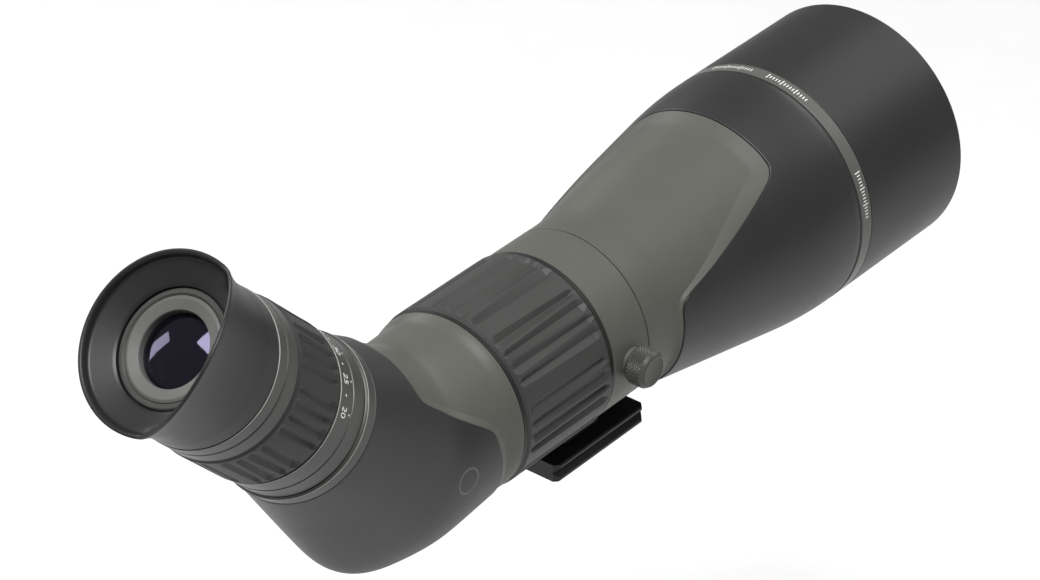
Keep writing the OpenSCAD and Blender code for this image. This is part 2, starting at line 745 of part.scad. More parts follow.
// ---------- eyepiece, zoom ----------
module zoom_ring()
    color(olive) on_eyepiece(0) difference() {
        rotate_extrude()
            polygon([[zoom_bore, zoom_back], [zoom_r - 0.1, zoom_back], [zoom_r + 0.2, zoom_back + 0.4],
                     [zoom_r + 0.1, zoom_back + 7], [zoom_r - 0.15, zoom_back + 7.4], [zoom_r, grip_back],
                     [grip_seat_r, grip_back], [grip_seat_r, grip_front], [zoom_r, grip_front],
                     [zoom_r - 0.2, zoom_front], [zoom_bore, zoom_front]]);
        translate([0, 0, screw_s]) around(pin_angles) radial(drive_r, 0, zoom_r - 1);
    }

module zoom_grip()
    color(black) on_eyepiece(grip_back + 0.05)
        ribbed_grip(grip_seat_r, zoom_r - 0.1, zoom_r + 0.5, zoom_grip_len - 0.1, 0.9, 1.2);

// Helical slot: a pin `half` thick rises by `rise` while the cam tube turns through zoom_turn
module cam_slot(start_s, rise, half) {
    per_degree = abs(rise) / zoom_turn;
    spread = half / per_degree;
    span = abs(rise) + 2 * half;
    low = min(start_s, start_s + rise) - half;
    direction = rise > 0 ? 1 : -1;
    lowest_turn = rise > 0 ? spread : -zoom_turn - spread;
    translate([0, 0, low]) rotate([0, 0, lowest_turn])
        linear_extrude(span, twist = direction * span / per_degree, slices = 30, segments = 6, $fn = 6)
            polygon([for (a = [-2, 0, 2]) 30 * [cos(a * spread / 2), sin(a * spread / 2)],
                     15 * [cos(spread), sin(spread)], 15 * [cos(spread), -sin(spread)]]);
}

module cam_tube()
    color(brass) on_eyepiece(0) difference() {
        translate([0, 0, cam_back]) ring(cam_r, cam_bore, cam_front - cam_back);
        translate([0, 0, screw_s]) around(pin_angles) radial(drive_r, 0, cam_r + over);
        rotate([0, 0, zoom_turn / 2]) around(pin_angles) {
            cam_slot(field_s, field_travel, zoom_pin_r + slot_gap);
            rotate([0, 0, 90]) cam_slot(relay_s, -relay_travel, zoom_pin_r + slot_gap);
        }
    }

module zoom_drive_screws()
    color(steel) on_eyepiece(screw_s) around(pin_angles) radial(drive_r, cam_bore + 0.1, zoom_r - 1.1);

module zoom_cell(s)
    difference() {
        on_eyepiece(s - zoom_cell_len / 2) rotate_extrude()
            polygon([[zoom_lens_r - 1.2, 0], [cell_slide_r, 0], [cell_slide_r, zoom_cell_len],
                     [zoom_lens_r, zoom_cell_len], [zoom_lens_r, 0.8], [zoom_lens_r - 1.2, 0.8]]);
        children();
    }
module zoom_pins(s, turned)
    on_eyepiece(s) rotate([0, 0, turned]) around(pin_angles) radial(zoom_pin_r, zoom_lens_r + 0.3, cam_r - 0.3);

module zoom_lens(s, sag) on_eyepiece(s - zoom_cell_len / 2 + 0.8) lens(zoom_lens_r - run_gap, 3.4, sag, sag);

module field_cell() color(black) zoom_cell(field_rest) zoom_pins(field_rest, 0);
module field_pins() color(steel) zoom_pins(field_rest, 0);
module field_lens() color(glass) zoom_lens(field_rest, -0.8);
module relay_cell() color(black) zoom_cell(relay_rest) zoom_pins(relay_rest, 90);
module relay_pins() color(steel) zoom_pins(relay_rest, 90);
module relay_lens() color(glass) zoom_lens(relay_rest, 0.7);

// ---------- eyecup ----------
module eyecup_guide_pins()
    color(steel) on_eyepiece(guide_pin_s) around(guide_angles)
        radial(key_half - 0.2, head_r - 1.5, glide_r - 0.6);

module eyecup_glide()
    color("#d8d6cc") on_eyepiece(glide_back) difference() {
        ring(glide_r, head_r + run_gap, glide_len);
        around(guide_angles) translate([head_r - over, -key_half, glide_rim])
            cube([glide_r - head_r + 2 * over, 2 * key_half, glide_len]);
    }

module eyecup_sleeve()
    color(steel) on_eyepiece(0) rotate_extrude()
        polygon([[glide_r + run_gap, cup_back], [cup_sleeve_r, cup_back], [cup_sleeve_r, cup_floor_s],
                 [head_r + 0.6, cup_floor_s], [head_r + 0.6, cup_floor_s - 1], [glide_r + run_gap, cup_floor_s - 1]]);

// Everything above the rim: level on one side, and a slope up to the side shield on the other
module above_rim() {
    reach = 2 * lip_r;
    slope = atan(shield_rise / (lip_r - shield_start));
    intersection() {
        translate([-reach, -reach, cup_front]) cube([2 * reach, 2 * reach, reach]);
        translate([shield_start, 0, cup_front]) rotate([0, -slope, 0])
            translate([-2 * reach, -reach, 0]) cube([4 * reach, 2 * reach, 2 * reach]);
    }
}

// Cup that flares to a lip and carries on up as far as the side shield needs
lip_t = 1.8;
module eyecup_rubber()
    color(black) on_eyepiece(0) difference() {
        rotate_extrude()
            polygon(concat(
                [[cup_sleeve_r, cup_back], [cup_r - 0.4, cup_back], [cup_r, cup_back + 0.6]],
                bend([cup_r, cup_back + 1], [cup_r, cup_back + 14], [lip_r, cup_front - 0.6], 8),
                [[lip_r, cup_front - 0.7], [lip_r, cup_front + shield_rise + over],
                 [lip_r - lip_t, cup_front + shield_rise + over], [lip_r - lip_t, cup_front - 1.5],
                 [lip_r - 2.4, cup_front - 3]],
                [[head_r + 1.2, cup_floor_s + 0.8], [head_r + 0.6, cup_floor_s], [cup_sleeve_r, cup_floor_s]]));
        above_rim();
    }

collar();
collar_liner();
foot_plate();
foot_screws();
tripod_insert();
lock_shoe();
lock_screw();
lock_knob();
chassis_tube();
barrel_shell();
barrel_armour();
marking_band();
objective_cell();
objective_crown();
objective_flint();
objective_spacer();
objective_seal();
objective_retainer();
barrel_baffles();
hood_guide_ring();
hood();
focus_sleeve();
focus_grip();
focus_seals();
focus_carriage();
focus_lens();
focus_retainer();
focus_pins();
prism_housing();
rear_armour();
side_medallion();
prism_cage();
roof_prism();
prism_clamp();
prism_screws();
purge_screw();
eyepiece_tube();
eyepiece_base_ring();
stop_ring();
guide_tube();
eyepiece_head();
field_stop();
eye_doublet();
eye_lens();
eye_lens_retainer();
zoom_ring();
zoom_grip();
cam_tube();
zoom_drive_screws();
field_cell();
field_lens();
field_pins();
relay_cell();
relay_lens();
relay_pins();
eyecup_glide();
eyecup_guide_pins();
eyecup_sleeve();
eyecup_rubber();
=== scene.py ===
"""Spotting scope: the visible pieces and their materials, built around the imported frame."""

import json
import math

import bmesh
import bpy
import numpy as np
from mathutils import Matrix, Vector
from mathutils.bvhtree import BVHTree
from mathutils.kdtree import KDTree


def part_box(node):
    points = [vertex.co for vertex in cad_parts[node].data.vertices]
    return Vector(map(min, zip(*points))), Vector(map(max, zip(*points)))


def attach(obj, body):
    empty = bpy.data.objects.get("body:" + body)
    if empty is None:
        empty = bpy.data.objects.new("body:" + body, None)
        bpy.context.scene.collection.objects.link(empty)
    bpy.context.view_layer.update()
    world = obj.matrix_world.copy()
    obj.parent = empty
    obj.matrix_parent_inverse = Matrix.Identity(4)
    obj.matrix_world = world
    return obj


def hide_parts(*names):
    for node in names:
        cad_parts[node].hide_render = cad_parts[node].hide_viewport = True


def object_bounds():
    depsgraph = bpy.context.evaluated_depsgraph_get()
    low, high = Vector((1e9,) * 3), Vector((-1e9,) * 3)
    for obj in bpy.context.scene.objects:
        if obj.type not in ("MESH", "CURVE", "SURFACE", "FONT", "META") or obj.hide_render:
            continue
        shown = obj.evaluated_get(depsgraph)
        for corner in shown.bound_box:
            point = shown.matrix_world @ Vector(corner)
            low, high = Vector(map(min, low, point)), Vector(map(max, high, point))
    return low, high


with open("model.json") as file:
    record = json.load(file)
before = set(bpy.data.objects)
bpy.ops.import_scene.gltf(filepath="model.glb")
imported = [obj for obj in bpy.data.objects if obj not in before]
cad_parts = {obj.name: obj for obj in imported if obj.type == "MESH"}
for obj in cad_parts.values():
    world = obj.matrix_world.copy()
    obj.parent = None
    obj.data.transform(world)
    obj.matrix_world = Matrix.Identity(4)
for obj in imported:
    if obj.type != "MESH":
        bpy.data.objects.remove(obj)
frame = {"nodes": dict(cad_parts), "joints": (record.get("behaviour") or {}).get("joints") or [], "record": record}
cad_low, cad_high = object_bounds()

MM = 0.001
NODES = frame["nodes"]


# ---------------------------------------------------------------- axes and measures
class Axis:
    """A turning axis: stations run along it in millimetres, and angle 0 is upwards."""

    def __init__(self, origin, along, up):
        self.origin = Vector(origin)
        self.along = Vector(along).normalized()
        self.up = Vector(up).normalized()
        self.side = Vector((1, 0, 0))

    def point(self, station, radius, angle):
        turn = self.up * math.cos(angle) + self.side * math.sin(angle)
        return self.origin + self.along * (station * MM) + turn * (radius * MM)

    def points(self, station, radius, angle):
        """The same for arrays: returns an array with one more dimension, in metres."""
        station, radius, angle = np.broadcast_arrays(station, radius, angle)
        turn = np.cos(angle)[..., None] * np.array(self.up) + np.sin(angle)[..., None] * np.array(self.side)
        offset = station[..., None] * np.array(self.along) + radius[..., None] * turn
        return np.array(self.origin) + offset * MM

    def span(self, node):
        """(first station, last station, greatest radius) of a CAD node, in millimetres."""
        co = np.array([v.co for v in NODES[node].data.vertices]) - np.array(self.origin)
        station = co @ np.array(self.along) / MM
        across = co - np.outer(station * MM, np.array(self.along))
        return float(station.min()), float(station.max()), float(np.linalg.norm(across, axis=1).max() / MM)


def joint(name):
    return next(j for j in frame["joints"] if j["name"] == name)


axis_z = joint("collar_rotation")["pos_m"][2]
tube = Axis((0, 0, axis_z), (0, 1, 0), (0, 0, 1))
eye_dir = Vector(joint("zoom_turn")["axis"])
eye_pos = Vector(joint("zoom_turn")["pos_m"])
cross = eye_pos - eye_dir * ((eye_pos.z - axis_z) / eye_dir.z)
eyepiece = Axis(cross, eye_dir, (0, eye_dir.z, -eye_dir.y))


def eyepiece_station(point):
    return (point - cross).dot(eyepiece.along) / MM


# ---------------------------------------------------------------- mesh tools
SHARP = math.radians(38)


def add_mesh(name, verts, faces, body, material, replaces=(), sharp=SHARP):
    """Makes a piece from points and faces, welds and orients it, and hands it to its body."""
    mesh = bpy.data.meshes.new(name)
    mesh.from_pydata([tuple(v) for v in verts], [], [tuple(f) for f in faces])
    bm = bmesh.new()
    bm.from_mesh(mesh)
    bmesh.ops.remove_doubles(bm, verts=bm.verts, dist=1e-6)
    bmesh.ops.dissolve_degenerate(bm, edges=bm.edges, dist=1e-6)
    bmesh.ops.recalc_face_normals(bm, faces=bm.faces)
    for face in bm.faces:
        face.smooth = True
    for edge in bm.edges:
        if len(edge.link_faces) == 2:
            edge.smooth = edge.calc_face_angle(0) < sharp
    bm.to_mesh(mesh)
    bm.free()
    piece = bpy.data.objects.new(name, mesh)
    bpy.context.scene.collection.objects.link(piece)
    mesh.materials.append(material)
    return settle(piece, body, replaces)


def settle(piece, body, replaces):
    """Hands a piece to its body, in place of the CAD nodes that it replaces."""
    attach(piece, body)
    if replaces:
        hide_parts(*replaces)
    return piece


def weigh_normals(piece):
    modifier = piece.modifiers.new("even_shading", "WEIGHTED_NORMAL")
    modifier.keep_sharp = True
    modifier.weight = 80
    return piece


def grid_faces(rows, columns, closed_rows=False):
    """Faces of a grid of points whose columns close into a ring."""
    faces = []
    for i in range(rows if closed_rows else rows - 1):
        below = i * columns
        above = ((i + 1) % rows) * columns
        for j in range(columns):
            k = (j + 1) % columns
            faces.append((below + j, below + k, above + k, above + j))
    return faces


def fillet(profile, steps=4):
    """Rounds the corners of a closed profile of (station, radius, fillet) points."""
    out = []
    count = len(profile)
    for i, (s, r, size) in enumerate(profile):
        here = Vector((s, r))
        to_last = Vector(profile[i - 1][:2]) - here
        to_next = Vector(profile[(i + 1) % count][:2]) - here
        reach = min(size, to_last.length * 0.48, to_next.length * 0.48)
        if reach < 1e-4:
            out.append(here)
            continue
        a = here + to_last.normalized() * reach
        b = here + to_next.normalized() * reach
        for k in range(steps + 1):
            u = k / steps
            out.append((1 - u) ** 2 * a + 2 * u * (1 - u) * here + u * u * b)
    return out


def lathe(name, axis, profile, body, material, replaces=(), steps=192):
    """Turns a closed profile of (station, radius, fillet) points about an axis."""
    outline = fillet(profile)
    stations = np.array([p[0] for p in outline])[:, None]
    radii = np.maximum(np.array([p[1] for p in outline]), 0.0)[:, None]
    angles = np.linspace(0, 2 * math.pi, steps, endpoint=False)[None, :]
    verts = axis.points(stations, radii, angles).reshape(-1, 3)
    faces = grid_faces(len(outline), steps, closed_rows=True)
    return weigh_normals(add_mesh(name, verts, faces, body, material, replaces))


# ---------------------------------------------------------------- materials
NOISE_LOW = 0.3
NOISE_HIGH = 0.7


def nodes_of(name):
    """A new material with its node tree and its shader."""
    material = bpy.data.materials.new(name)
    material.use_nodes = True
    tree = material.node_tree
    return material, tree, tree.nodes["Principled BSDF"]


def noise(tree, scale, detail):
    coordinates = tree.nodes.new("ShaderNodeTexCoord")
    texture = tree.nodes.new("ShaderNodeTexNoise")
    texture.inputs["Scale"].default_value = scale
    texture.inputs["Detail"].default_value = detail
    texture.inputs["Roughness"].default_value = 0.55
    tree.links.new(coordinates.outputs["Object"], texture.inputs["Vector"])
    return texture.outputs["Fac"]


def ramp(tree, source, low, high):
    """Number that runs from low to high with a noise."""
    node = tree.nodes.new("ShaderNodeMapRange")
    node.inputs["From Min"].default_value = NOISE_LOW
    node.inputs["From Max"].default_value = NOISE_HIGH
    node.inputs["To Min"].default_value = low
    node.inputs["To Max"].default_value = high
    tree.links.new(source, node.inputs["Value"])
    return node.outputs["Result"]


def tint(tree, source, colour, spread):
    """Colour that drifts a little darker and lighter with a noise."""
    node = tree.nodes.new("ShaderNodeValToRGB")
    low, high = node.color_ramp.elements
    low.position = NOISE_LOW
    high.position = NOISE_HIGH
    low.color = (*[c * (1 - spread) for c in colour], 1)
    high.color = (*[c * (1 + spread) for c in colour], 1)
    tree.links.new(source, node.inputs["Fac"])
    return node.outputs["Color"]


def bump(tree, source, strength, distance):
    """Fine relief from a noise, as a normal."""
    node = tree.nodes.new("ShaderNodeBump")
    node.inputs["Strength"].default_value = strength
    node.inputs["Distance"].default_value = distance
    tree.links.new(source, node.inputs["Height"])
    return node.outputs["Normal"]


def coated(name, colour, rough, grain, grain_depth, spread=0.06, gloss=0.28):
    """Paint, anodising or moulded rubber: an even colour with a fine grain and uneven gloss."""
    material, tree, shader = nodes_of(name)
    broad = noise(tree, 26, 4)
    fine = noise(tree, grain, 2)
    tree.links.new(tint(tree, broad, colour, spread), shader.inputs["Base Color"])
    tree.links.new(ramp(tree, broad, rough * 0.92, rough * 1.08), shader.inputs["Roughness"])
    tree.links.new(bump(tree, fine, 0.35, grain_depth), shader.inputs["Normal"])
    shader.inputs["Specular IOR Level"].default_value = gloss
    return material


def turned_metal(name, colour, rough):
    """Bare metal with fine turning marks."""
    material, tree, shader = nodes_of(name)
    marks = noise(tree, 2200, 1)
    broad = noise(tree, 60, 3)
    tree.links.new(tint(tree, broad, colour, 0.05), shader.inputs["Base Color"])
    tree.links.new(ramp(tree, marks, rough * 0.8, rough * 1.2), shader.inputs["Roughness"])
    tree.links.new(bump(tree, marks, 0.2, 0.00001), shader.inputs["Normal"])
    shader.inputs["Metallic"].default_value = 1.0
    return material


def optical_glass(name, colour, tint_colour, alpha, shine):
    """Coated glass: dark and clear face on, with a coloured reflection."""
    material, tree, shader = nodes_of(name)
    film = noise(tree, 18, 2)
    tree.links.new(tint(tree, film, colour, 0.08), shader.inputs["Base Color"])
    tree.links.new(ramp(tree, film, 0.02, 0.035), shader.inputs["Roughness"])
    shader.inputs["IOR"].default_value = 1.6
    shader.inputs["Specular Tint"].default_value = (*tint_colour, 1)
    shader.inputs["Specular IOR Level"].default_value = shine
    shader.inputs["Coat Weight"].default_value = shine * 0.6
    shader.inputs["Coat Tint"].default_value = (*tint_colour, 1)
    shader.inputs["Coat Roughness"].default_value = 0.03
    shader.inputs["Alpha"].default_value = alpha
    return material


BODY_GREEN = (0.068, 0.069, 0.060)
ARMOUR_BLACK = (0.014, 0.014, 0.0143)
body_paint = coated("body_paint", BODY_GREEN, 0.46, 1500, 0.00003)
armour_rubber = coated("armour_rubber", ARMOUR_BLACK, 0.44, 1200, 0.00003, gloss=0.42)
hood_paint = coated("hood_paint", ARMOUR_BLACK, 0.44, 1700, 0.00002, gloss=0.36)
grip_rubber = coated("grip_rubber", (0.020, 0.020, 0.0195), 0.50, 1300, 0.00004)
focus_rubber = coated("focus_rubber", (0.033, 0.033, 0.032), 0.48, 1300, 0.00004)
eyecup_rubber = coated("eyecup_rubber", (0.012, 0.012, 0.012), 0.40, 1300, 0.00002)
knob_paint = coated("knob_paint", (0.046, 0.046, 0.041), 0.40, 1500, 0.00003)
ring_paint = coated("ring_paint", (0.036, 0.036, 0.034), 0.38, 1500, 0.00002, gloss=0.4)
band_paint = coated("band_paint", (0.075, 0.075, 0.070), 0.34, 1500, 0.00002)
anodised = coated("black_anodised", (0.012, 0.012, 0.012), 0.42, 1800, 0.00002)
retainer_black = coated("retainer_satin", (0.085, 0.085, 0.080), 0.38, 1800, 0.00002)
foot_black = coated("foot_anodised", (0.009, 0.009, 0.009), 0.42, 1900, 0.00002)
medallion_grey = coated("medallion_grey", (0.075, 0.075, 0.072), 0.34, 1700, 0.00002)
white_ink = coated("white_ink", (0.62, 0.62, 0.60), 0.55, 1600, 0.00001, 0.03)
nose_satin = coated("nose_satin", (0.040, 0.040, 0.038), 0.36, 1800, 0.00002)
# light grey paint for thin edge rings: a painted highlight standing in for light caught on the rings' bevels
bright_edge = coated("painted_highlight_edge", (0.24, 0.24, 0.225), 0.30, 1800, 0.00001, gloss=0.5)
nylon = coated("black_nylon", (0.020, 0.020, 0.020), 0.5, 1400, 0.00003)
seal_black = coated("seal_rubber", (0.012, 0.012, 0.012), 0.45, 1300, 0.00003)
aluminium = turned_metal("turned_aluminium", (0.60, 0.60, 0.61), 0.30)
steel = turned_metal("turned_steel", (0.52, 0.52, 0.53), 0.28)
brass = turned_metal("turned_brass", (0.68, 0.50, 0.24), 0.30)
eye_glass = optical_glass("eye_glass", (0.003, 0.003, 0.004), (0.70, 0.64, 1.0), 0.75, 0.5)
objective_glass = optical_glass("objective_glass", (0.010, 0.014, 0.020), (0.45, 0.75, 0.70), 0.40, 0.9)
deep_glass = optical_glass("deep_glass", (0.004, 0.004, 0.006), (0.62, 0.50, 1.0), 0.55, 0.6)

SLOT_MATERIALS = {
    "body_paint": body_paint, "armour_rubber": armour_rubber, "grip_rubber": grip_rubber,
    "hood_paint": hood_paint, "band_paint": band_paint, "medallion_metal": medallion_grey,
    "black_anodised": anodised, "foot_metal": foot_black, "bare_aluminium": aluminium, "steel": steel,
    "brass": brass, "nylon": nylon, "seal_rubber": seal_black, "lens_glass": deep_glass,
}
slot_of = {s["node"]: s["material_slot"] for s in frame["record"]["subparts"]}
for node_name, node_object in NODES.items():
    node_object.data.materials.clear()
    node_object.data.materials.append(SLOT_MATERIALS[slot_of[node_name]])
NODES["focus_sleeve"].data.materials[0] = anodised
NODES["purge_screw"].data.materials[0] = anodised

# ---------------------------------------------------------------- two-coloured castings
COLUMNS = 480
CASTING_ROWS = 90
ARMOUR_ROWS = 100
INNER_ROWS = 12
LIP_DROP = 0.3
LIP_ROUND = 0.4
LIP_ROOT = 1.3
GAP = 0.22
WALL = 2.4
TONGUE = 0.6
EDGE = 0.3


def smoothed(values, sigma, axis=0, wrap=False):
    """Gaussian smoothing along one axis of an array."""
    reach = int(3 * sigma) + 1
    kernel = np.exp(-0.5 * (np.arange(-reach, reach + 1) / sigma) ** 2)
    kernel /= kernel.sum()
    moved = np.moveaxis(np.asarray(values, float), axis, 0)
    padding = [(reach, reach)] + [(0, 0)] * (moved.ndim - 1)
    if wrap:
        padded = np.pad(moved, padding, mode="wrap")
    else:
        padded = np.pad(moved, padding, mode="reflect", reflect_type="odd")
    out = sum(k * padded[i:i + len(moved)] for i, k in enumerate(kernel))
    return np.moveaxis(out, 0, axis)


def smooth_step(x):
    x = np.clip(x, 0, 1)
    return x * x * (3 - 2 * x)


def ease_edge(distance):
    """How far a rounded edge has fallen away, at a distance from its end."""
    return EDGE * (1 - np.sqrt(np.clip(1 - (1 - np.clip(distance / EDGE, 0, 1)) ** 2, 0, 1)))


def two_tone(surface, split, first, last, depth, run_in, bevel_width, casting, armour):
    """Bare casting up to the line `split`, sunk behind a sloping bevel, and armour beyond it.

    surface(station, angle, lift) gives points. `split` holds one station for each column. casting and
    armour are (name, material, slot, replaced nodes).
    """
    angles = np.linspace(0, 2 * math.pi, COLUMNS, endpoint=False)
    edge_points = surface(split, angles, np.zeros(COLUMNS))
    tree = KDTree(COLUMNS)
    for i, co in enumerate(edge_points):
        tree.insert(co, i)
    tree.balance()

    share = np.linspace(0, 1, CASTING_ROWS)[:, None]
    start = np.array([0, 0.08, 0.18])[:, None] + np.full((1, COLUMNS), first)
    stations = (first + EDGE) + (split[None, :] - 0.8 - first) * share
    stations = np.vstack([start, stations, split - GAP - 0.15, split - GAP, split - GAP, split + TONGUE])
    flat = surface(stations, angles[None, :], np.zeros(stations.shape))
    from_edge = np.array([[tree.find(Vector(p))[2] / MM for p in row] for row in flat])
    fall = np.clip(from_edge / bevel_width(stations), 0, 1)
    sunk = depth * smooth_step((stations - first) / run_in)
    lift = -np.where(fall < 1, np.minimum(LIP_DROP, sunk + LIP_DROP) * (1 - fall) + sunk * fall, sunk)
    lift = lift - ease_edge(stations - first)
    lift[-3] -= 0.12
    lift[-2:] = -LIP_ROOT
    inner = np.linspace(0, 1, INNER_ROWS)[:, None]
    inner = split[None, :] + TONGUE + (first - split[None, :] - TONGUE) * inner
    stations = np.vstack([stations, inner])
    lift = np.vstack([lift, np.full(inner.shape, -WALL)])
    points = surface(stations, angles[None, :], lift).reshape(-1, 3)
    name, material, slot, replaced = casting
    faces = grid_faces(len(stations), COLUMNS, closed_rows=True)
    weigh_normals(add_mesh(name, points, faces, "scope", material, replaced))

    lip = [(0.0, -LIP_ROOT), (0.0, -0.32), (0.06, -0.14), (0.2, -0.03), (LIP_ROUND, 0.0)]
    stations = np.vstack([split + s for s, _ in lip])
    lift = np.vstack([np.full(COLUMNS, h) for _, h in lip])
    share = np.linspace(0, 1, ARMOUR_ROWS)[1:, None]
    rest = (split + LIP_ROUND)[None, :] + (last - EDGE - split - LIP_ROUND)[None, :] * share
    ends = np.array([-0.18, -0.08, 0])[:, None] + last[None, :]
    outer = np.vstack([rest, ends])
    inner = last[None, :] + (split + TONGUE + 0.1 - last)[None, :] * np.linspace(0, 1, INNER_ROWS)[:, None]
    stations = np.vstack([stations, outer, inner, split + TONGUE + 0.1])
    lift = np.vstack([lift, -ease_edge(last[None, :] - outer), np.full(inner.shape, -WALL),
                      np.full((1, COLUMNS), -LIP_ROOT)])
    points = surface(stations, angles[None, :], lift).reshape(-1, 3)
    name, material, slot, replaced = armour
    faces = grid_faces(len(stations), COLUMNS, closed_rows=True)
    weigh_normals(add_mesh(name, points, faces, "scope", material, replaced))


def mesh_tree(piece):
    """A piece's faces, ready for rays to be cast on them."""
    mesh = piece.data
    return BVHTree.FromPolygons([v.co for v in mesh.vertices], [p.vertices for p in mesh.polygons])


def caster(*nodes):
    """Rays on to CAD nodes: hit(start, direction) gives (distance, node) of the first surface met."""
    trees = []
    for n in nodes:
        trees.append((n, mesh_tree(NODES[n])))

    def hit(start, direction):
        found = [(tree.ray_cast(start, direction)[3], n) for n, tree in trees]
        found = [f for f in found if f[0] is not None]
        return min(found) if found else None
    return hit


# ---- barrel
casing_back, casing_front, _ = tube.span("barrel_shell")
armour_back, armour_front, _ = tube.span("barrel_armour")
ARMOUR_THICK = 0.9
FAR = 85


def barrel_outline():
    """Outer radius of the armour against station, carried on over the bare casting behind it."""
    hit = caster("barrel_armour", "barrel_shell")
    stations = np.arange(casing_back, armour_front + 0.5, 0.5)
    radii = []
    for s in stations:
        inside = min(max(s, casing_back + 0.3), armour_front - 0.3)
        distance, node = hit(tube.point(inside, FAR, math.pi), Vector((0, 0, 1)))
        bare = node == "barrel_shell" and s > casing_back + 1.3
        radii.append(FAR - distance / MM + (ARMOUR_THICK if bare else 0))
    radii = np.array(radii)
    at_armour_step = np.abs(stations - armour_back) <= 1.5
    at_casing_step = (stations >= casing_back + 1) & (stations <= casing_back + 3)
    fair = ~(at_armour_step | at_casing_step)
    radii = np.interp(stations, stations[fair], radii[fair])
    return stations, smoothed(radii, 3)


outline_s, outline_r = barrel_outline()


def barrel_surface(station, angle, lift):
    return tube.points(station, np.interp(station, outline_s, outline_r) + lift, angle)


def panel_line():
    """Station where the armour begins, for each column round the barrel."""
    angles = np.linspace(0, 2 * math.pi, COLUMNS, endpoint=False)
    turned = np.degrees(np.abs((angles + math.pi) % (2 * math.pi) - math.pi))
    front = armour_back + 61.5
    back = armour_back + 0.3
    knots = [0, 30, 38, 42.5, 72, 78, 180]
    ends = [front, front, front - 0.5, front - 3.5, back + 2, back, back]
    return smoothed(np.interp(turned, knots, ends), 1.8, wrap=True)


def barrel_bevel(station):
    """Width of the sloping edge of the bare panel, which widens towards the front."""
    return 1.6 + 5.6 * smooth_step((station - armour_back) / 48)


two_tone(barrel_surface, panel_line(), casing_back, np.full(COLUMNS, armour_front), 1.5, 16, barrel_bevel,
         ("barrel_casting", body_paint, "body_paint", ("barrel_shell",)),
         ("barrel_armour_skin", armour_rubber, "armour_rubber", ("barrel_armour",)))

# ---- elbow
mouth = Vector((0, tube.span("prism_housing")[1] * MM, axis_z))
neck_s = eyepiece.span("eyepiece_base_ring")[0]
neck = eyepiece.point(neck_s, 0, 0)
ELBOW_STATIONS = 150
ELBOW_MARGIN = 0.35
FAIR_ALONG = 4.0
FAIR_COLUMNS = 9


def spine(u):
    """Centre line of the elbow, as a curve from the barrel's axis on to the eyepiece's."""
    point = mouth * (1 - u) ** 2 + cross * (2 * u * (1 - u)) + neck * (u * u)
    along = (cross - mouth) * (1 - u) + (neck - cross) * u
    return point, along.normalized()


purge_low, purge_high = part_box("purge_screw")


def over_purge_hole(start, out):
    """True for a ray through the casting's hole for the purge screw, which the armour covers."""
    screw = (purge_low + purge_high) / 2 - start
    along = screw.dot(out)
    return along > 0 and (screw - out * along).length < (purge_high - purge_low).x


class Elbow:
    """The blended skin of the prism housing, sampled from the frame's plain masses and faired."""

    def __init__(self):
        hit = caster("prism_housing")
        self.u = np.linspace(0, 1, ELBOW_STATIONS)
        angles = np.linspace(0, 2 * math.pi, COLUMNS, endpoint=False)
        centres = [spine(u)[0] for u in self.u.tolist()]
        strides = [(b - a).length for a, b in zip(centres, centres[1:])]
        self.length = sum(strides) / MM
        self.station = np.concatenate([[0], np.cumsum([stride / MM for stride in strides])])
        step = self.length / (ELBOW_STATIONS - 1)
        self.centre = np.array(centres)
        self.up = np.array([spine(u)[1].cross(Vector((1, 0, 0))) for u in self.u.tolist()])
        self.up *= np.sign(self.up[:, 2])[:, None]
        radius = np.zeros((ELBOW_STATIONS, COLUMNS))
        margin = ELBOW_MARGIN / self.length
        for i, u in enumerate(np.clip(self.u, margin, 1 - margin)):
            centre, _ = spine(float(u))
            up = Vector(self.up[i])
            for j, a in enumerate(angles):
                out = up * math.cos(a) + Vector((math.sin(a), 0, 0))
                met = None if over_purge_hole(centre, out) else hit(centre + out * (FAR * MM), -out)
                radius[i, j] = FAR - met[0] / MM if met else math.nan
        for column in radius.T:
            bad = np.isnan(column)
            column[bad] = np.interp(self.u[bad], self.u[~bad], column[~bad])
        radius += ARMOUR_THICK
        radius = smoothed(radius, FAIR_ALONG / step, axis=0)
        self.radius = smoothed(radius, FAIR_COLUMNS, axis=1, wrap=True)

    def surface(self, station, angle, lift):
        """Points on the skin; the angles are the mesh's own columns."""
        station, angle, lift = np.broadcast_arrays(station, angle, lift)
        column = np.rint(angle / (2 * math.pi) * COLUMNS).astype(int) % COLUMNS
        place = np.interp(station, self.station, np.arange(ELBOW_STATIONS))
        low = np.clip(place.astype(int), 0, ELBOW_STATIONS - 2)
        part = place - low
        radius = self.radius[low, column] * (1 - part) + self.radius[low + 1, column] * part + lift
        part = part[..., None]
        centre = self.centre[low] * (1 - part) + self.centre[low + 1] * part
        up = self.up[low] * (1 - part) + self.up[low + 1] * part
        turn = np.cos(angle)[..., None] * up + np.sin(angle)[..., None] * np.array([1.0, 0, 0])
        return centre + turn * radius[..., None] * MM


elbow = Elbow()
# side view of the edge of the rear armour: (ahead of the crossing axes, above the barrel's axis)
REAR_EDGE = [(-12.6, 57), (-8, 53.4), (-3.2, 49.5), (-0.6, 45.5), (0.1, 40), (0.5, 35), (1.4, 32),
             (4, 29.8), (16.3, 18.9), (27, 10.6), (29.2, 8), (30.3, 4), (32.5, -7), (34.2, -17.3),
             (36.3, -30), (37, -45)]


